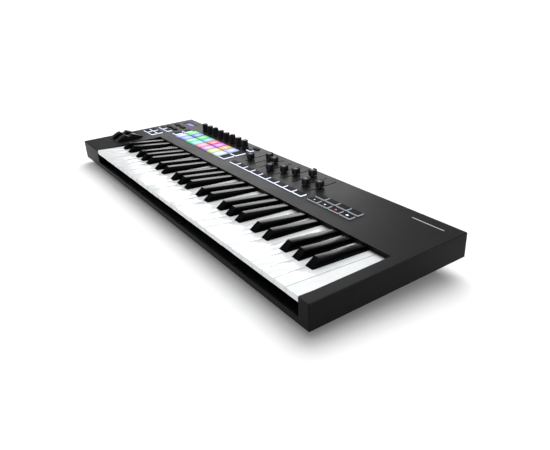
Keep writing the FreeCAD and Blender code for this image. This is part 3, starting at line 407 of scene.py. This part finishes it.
# translucent silicone round the caps, lit through: a bright cool white, a dim one, and the record mark's red
rim_light = lit("lit_silicone_rim", "#3c3e44", "#dfe4f8", 1.5)[0]
dim_light = lit("dim_silicone_rim", "#3a3c40", "#c0c4ce", 0.65)[0]
record_light = lit("lit_silicone_record", "#601010", "#e01010", 1.0)[0]
# each button's rim: 0 none, 1 bright, 2 dim
BUTTON_RIMS = {
    "menu_buttons": [],
    "track_buttons": [1] * 6,
    "pad_side_buttons": [1, 1, 1, 1, 1, 0],
    "fader_buttons": [1] * 9,
    "transport_buttons": [2] * 8,
}
RIM_WIDTH = [0.8, 1.8, 1.3]
RIM_BAND = 1.7
RIM_STEP = 5
BUTTON_CORNER = 1.2
FLANGE_REACH = 1.0
FLANGE_LOW, FLANGE_HIGH = PANEL - 4.8, PANEL - 3.4
for node, rims in BUTTON_RIMS.items():
    mesh = bmesh.new()
    for number, (low, high) in enumerate(solids(node)):
        centre, half = middle_and_half(low, high, FLANGE_REACH)
        rim = rims[number] if rims else 0
        top, steps = raised(
            mesh, centre, half,
            [
                (0, low.z), (0, FLANGE_LOW), (FLANGE_REACH, FLANGE_LOW), (FLANGE_REACH, FLANGE_HIGH),
                (0, FLANGE_HIGH), (0, high.z - RIM_BAND), (0, high.z - 0.35), (-0.35, high.z),
                (-RIM_WIDTH[rim], high.z - 0.05),
            ],
            BUTTON_CORNER,
        )
        for step in steps[RIM_STEP:]:
            for face in step:
                face.material_index = rim
    finish_piece(f"{node}_caps", mesh, node, [cap_silicone, rim_light, dim_light], [node])

# ---------------------------------------------------------------- knobs

KNOB_SIDES, KNOB_CROWN = 72, 5.4
FLUTE_EVERY, FLUTE_DEPTH = 3, 0.08
POINTER, POINTER_OUT = (0.45, 1.8), 2.6
for number in range(1, 9):
    node = f"knob_{number}"
    low, high = solids(node)[0]
    centre, half = middle_and_half(low, high)
    mesh = bmesh.new()
    foot, crown = half[0], KNOB_CROWN
    face = disc_face(mesh, centre, foot, low.z, KNOB_SIDES)
    rise(
        mesh, face, centre,
        [
            (foot, foot, low.z + 1.4), (foot - 0.3, foot - 0.3, low.z + 1.8),
            (foot - 0.8, foot - 0.8, low.z + 2.3),
            (crown + 0.5, crown + 0.5, high.z - 1.6), (crown + 0.2, crown + 0.2, high.z - 0.7),
            (crown - 0.3, crown - 0.3, high.z - 0.2), (crown - 0.9, crown - 0.9, high.z),
            (crown - 1.3, crown - 1.3, high.z - 0.15),
        ],
        (foot, foot),
    )
    for vert in mesh.verts:
        arm = Vector((vert.co.x - centre[0], vert.co.y - centre[1]))
        turn = round(math.atan2(arm.y, arm.x) / (2 * math.pi / KNOB_SIDES))
        if turn % FLUTE_EVERY == 0 and low.z + 2.1 < vert.co.z < high.z - 1.0:
            vert.co.x -= arm.x * FLUTE_DEPTH
            vert.co.y -= arm.y * FLUTE_DEPTH
    place = (centre[0], centre[1] + POINTER_OUT)
    pointer = base_face(mesh, place, POINTER, 0.3, high.z - 0.3)
    top, steps = rise(mesh, pointer, place, [(*POINTER, high.z - 0.02)], POINTER)
    top.material_index = 1
    finish_piece(f"{node}_cap", mesh, node, [soft_abs, print_ink], [node], crease=25)

# ---------------------------------------------------------------- faders

# fins across a fader cap: distance from its middle, and drop below its highest point
FADER_FINS = [(-4.9, 0.0), (0, 1.2), (4.9, 0.0)]
FIN_HALF = 0.8
FADER_FOOT = PANEL + 1.2
STEM = (0.6, 2.5)
for number in range(1, 10):
    node = f"fader_cap_{number}"
    low, high = solids(node)[0]
    centre, half = middle_and_half(low, high)
    mesh = bmesh.new()
    core = (half[0] - 1.0, half[1] - 0.6)
    face = base_face(mesh, centre, core, 0.4, FADER_FOOT)
    rise(
        mesh, face, centre,
        [(*core, high.z - 3.4), (core[0] - 0.4, core[1] - 0.4, high.z - 3.0)], core,
    )
    for along, drop in FADER_FINS:
        place = (centre[0], centre[1] + along)
        crest = high.z - drop
        known = set(mesh.faces)
        ridge = base_face(mesh, place, (half[0], FIN_HALF), 0.15, FADER_FOOT, 2)
        rise(
            mesh, ridge, place,
            [(half[0] - 0.3, FIN_HALF - 0.05, crest - 0.3), (half[0] - 0.6, FIN_HALF - 0.3, crest)],
            (half[0], FIN_HALF),
        )
        # the fins take the lighter grey of the same ABS: a painted highlight
        for face in mesh.faces:
            if face not in known:
                face.material_index = 1
    stem = base_face(mesh, centre, STEM, 0, low.z)
    rise(mesh, stem, centre, [(*STEM, FADER_FOOT + 0.3)], STEM)
    finish_piece(f"{node}_ribbed", mesh, node, [cap_abs, painted_highlight_fin_abs], [node])

# ---------------------------------------------------------------- wheels

TREAD_LOW = 25.0


def tread_rim(edge):
    first, second = edge.verts
    return abs(first.co.x - second.co.x) < 0.01 and min(first.co.z, second.co.z) > TREAD_LOW


for node in ("pitch_wheel", "modulation_wheel"):
    wheel = softened(node, 1.1, 4, tread_rim)
    finish_piece(f"{node}_tread", wheel, node, [wheel_rubber], [node], turn_out=False)

# ---------------------------------------------------------------- display

low, high = solids("display_window")[0]
centre, half = middle_and_half(low, high)
LIT_FIELD = (13.6, 3.9)
CELL = (0.6, 1.25)
CELLS, CELL_PITCH, ROW_OFFSET = 16, 1.6, 1.8
# liquid crystal cells and their backlight: an even violet blue, the cells a little paler
lcd_light = lit("lit_liquid_crystal", "#100c40", "#4c48ff", 0.9)[0]
lcd_field = lit("liquid_crystal_backlight", "#0c0830", "#2c20e8", 0.85)[0]
mesh = bmesh.new()
raised(mesh, centre, half, [(0, low.z), (0, high.z - 0.2), (-0.2, high.z)], 1.0)
finish_piece("display_glass", mesh, "case", [window_acrylic], ["display_window"])
mesh = bmesh.new()
field = base_face(mesh, centre, LIT_FIELD, 0.6, high.z - 0.2)
rise(mesh, field, centre, [(*LIT_FIELD, high.z + 0.03)], LIT_FIELD)
for row in (-1, 1):
    for cell in range(CELLS):
        place = (centre[0] + (cell - (CELLS - 1) / 2) * CELL_PITCH, centre[1] + row * ROW_OFFSET)
        mark = base_face(mesh, place, CELL, 0, high.z)
        top, steps = rise(mesh, mark, place, [(*CELL, high.z + 0.06)], CELL)
        top.material_index = 1
finish_piece("display_cells", mesh, "case", [lcd_field, lcd_light])

# ---------------------------------------------------------------- marks on the transport buttons and panel

ROWS_PART = 45.0
MARK = 1.7
PLAY, STOP, RECORD = range(3)
lower_row = [box for box in solids("transport_buttons") if box[0].y < ROWS_PART]
mesh = bmesh.new()
for number, (low, high) in enumerate(lower_row):
    centre, half = middle_and_half(low, high)
    sunk = high.z - 0.12
    if number == PLAY:
        face = disc_face(mesh, centre, MARK, sunk, 3)
    elif number == STOP:
        face = base_face(mesh, centre, (MARK * 0.8, MARK * 0.8), 0.2, sunk)
    elif number == RECORD:
        face = disc_face(mesh, centre, MARK, sunk, 32)
    else:
        face = base_face(mesh, centre, (MARK * 1.5, MARK * 0.8), 0.7, sunk)
    top, steps = rise(mesh, face, centre, [(1, 1, high.z + 0.02)], (1, 1))
    top.material_index = int(number == RECORD)
finish_piece("transport_marks", mesh, "transport_buttons", [rim_light, record_light])

mesh = bmesh.new()
BAR_PLACE, BAR_HALF = (346.0, 109.5), (27.0, 0.7)
face = base_face(mesh, BAR_PLACE, BAR_HALF, 0.6, PANEL - 0.2)
rise(mesh, face, BAR_PLACE, [(*BAR_HALF, PANEL + 0.03)], BAR_HALF)
finish_piece("panel_print", mesh, "case", [print_ink])

# ---------------------------------------------------------------- feet

mesh = bmesh.new()
for low, high in solids("rubber_feet", LEVEL):
    centre, half = middle_and_half(low, high)
    face = disc_face(mesh, centre, half[0], high.z, 48)
    profile = [(0, low.z + 0.7), (0.5, low.z), (2.5, low.z), (3.0, low.z + 0.5)]
    levels = [(half[0] - inset, half[0] - inset, level) for inset, level in profile]
    rise(mesh, face, centre, levels, (half[0], half[0]))
finish_piece("foot_pads", mesh, "case", [foot_rubber], ["rubber_feet"], LEVEL)

# ---------------------------------------------------------------- CAD nodes that stay

STAYING = {
    "bottom_case": inner_abs, "keybed_frame": inner_abs, "key_pivot_rod": plated_steel,
    "key_stop_felts": pressed_felt, "key_contact_board": solder_mask, "rubber_contact_strip": foot_rubber,
    "key_return_springs": spring_steel, "panel_board": solder_mask, "main_board": solder_mask,
    "display_module": inner_abs, "knob_pots": pressed_tin, "fader_tracks": inner_abs,
    "wheel_cradle": inner_abs, "wheel_axle": plated_steel, "usb_socket": plated_steel,
    "midi_out_socket": inner_abs, "sustain_jack": inner_abs, "case_screws": black_steel,
    "board_screws": plated_steel,
}
HIDDEN_FINISH = {
    "top_case": case_abs, "display_window": window_acrylic, "rubber_feet": foot_rubber,
    "pitch_wheel": wheel_rubber, "modulation_wheel": wheel_rubber,
}
for node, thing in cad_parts.items():
    if node in STAYING:
        finish = STAYING[node]
    elif node in HIDDEN_FINISH:
        finish = HIDDEN_FINISH[node]
    elif node.startswith("key_"):
        finish = black_abs if "sharp" in node else white_abs
    elif node.startswith(("knob_", "fader_cap_")):
        finish = soft_abs
    else:
        finish = cap_silicone
    thing.data.materials.clear()
    thing.data.materials.append(finish)

# ---------------------------------------------------------------- floor, light and camera


def paper(name, code, lift):
    """Seamless backdrop paper: matt white with a faint tooth, lit through a little from below."""
    finish, tree, shader = begin(name, {
        "Base Color": srgb(code), "Emission Color": srgb(code), "Emission Strength": lift, "Roughness": 0.95,
        "Specular IOR Level": 0.0,
    })
    place = add(tree, "ShaderNodeTexCoord")
    tooth = add(tree, "ShaderNodeTexNoise", {"Scale": 800.0}, {"Vector": place.outputs["Object"]})
    bump = add(
        tree, "ShaderNodeBump", {"Strength": 0.03, "Distance": 0.2 * MM}, {"Height": tooth.outputs["Fac"]}
    )
    tree.links.new(bump.outputs["Normal"], shader.inputs["Normal"])
    return finish


FLOOR_REACH = 60
floor_mesh = bmesh.new()
bmesh.ops.create_grid(floor_mesh, x_segments=1, y_segments=1, size=FLOOR_REACH)
floor_data = bpy.data.meshes.new("floor")
floor_mesh.to_mesh(floor_data)
floor_mesh.free()
floor_data.materials.append(paper("white_backdrop_paper", "#f4f4f4", 0.12))
floor = bpy.data.objects.new("floor", floor_data)
bpy.context.scene.collection.objects.link(floor)

# a dome with a bright band at the horizon, a darker belt above it and a bright top
SKY_HORIZON, SKY_LOW, SKY_HIGH = 1.0, 0.06, 0.75
world = bpy.data.worlds.new("studio")
world.use_nodes = True
sky = world.node_tree
sky.nodes.clear()
direction = add(sky, "ShaderNodeTexCoord")
height = add(sky, "ShaderNodeSeparateXYZ", links={"Vector": direction.outputs["Generated"]})
level = add(
    sky, "ShaderNodeMapRange", {"From Min": 0.4, "From Max": 0.8, "To Min": SKY_LOW, "To Max": SKY_HIGH},
    {"Value": height.outputs["Z"]},
)
band = add(
    sky, "ShaderNodeMapRange", {"From Min": 0.15, "From Max": 0.25, "To Min": SKY_HORIZON, "To Max": SKY_LOW},
    {"Value": height.outputs["Z"]},
)
brighter = add(
    sky, "ShaderNodeMath", links={0: level.outputs["Result"], 1: band.outputs["Result"]}, operation="MAXIMUM"
)
dome = add(sky, "ShaderNodeBackground", {"Color": (1, 1, 1, 1)}, {"Strength": brighter.outputs["Value"]})
add(sky, "ShaderNodeOutputWorld", links={"Surface": dome.outputs["Background"]})
bpy.context.scene.world = world


def softbox(name, place, target, size, power):
    lamp = bpy.data.lights.new(name, "AREA")
    lamp.shape = "RECTANGLE"
    lamp.size, lamp.size_y = size
    lamp.energy = power
    box = bpy.data.objects.new(name, lamp)
    bpy.context.scene.collection.objects.link(box)
    box.location = place
    box.rotation_euler = (Vector(target) - Vector(place)).to_track_quat("-Z", "Y").to_euler()
    return box


bank = bpy.data.lights.new("overhead_bank", "SUN")
bank.energy = 2.1
bank.angle = math.radians(45)
bank_object = bpy.data.objects.new("overhead_bank", bank)
bpy.context.scene.collection.objects.link(bank_object)
bank_object.rotation_euler = Vector((0.42, -0.42, -1.0)).to_track_quat("-Z", "Y").to_euler()
softbox("sheen_card", (-1.25, 0.85, 0.62), (-0.05, 0.05, 0.05), (1.0, 0.6), 8.0)

camera_data = bpy.data.cameras.new("camera")
camera_data.sensor_width = 36.0
camera_data.lens = 34.25
camera_data.clip_start = 0.01
camera_data.clip_end = 200
camera = bpy.data.objects.new("camera", camera_data)
bpy.context.scene.collection.objects.link(camera)
eye = Vector((0.754, -0.4197, 0.3424))
target = Vector((0.2076, -0.0428, 0.04645))
camera.location = eye
camera.rotation_euler = (target - eye).to_track_quat("-Z", "Y").to_euler()
bpy.context.scene.camera = camera
bpy.context.scene.view_settings.view_transform = "Standard"
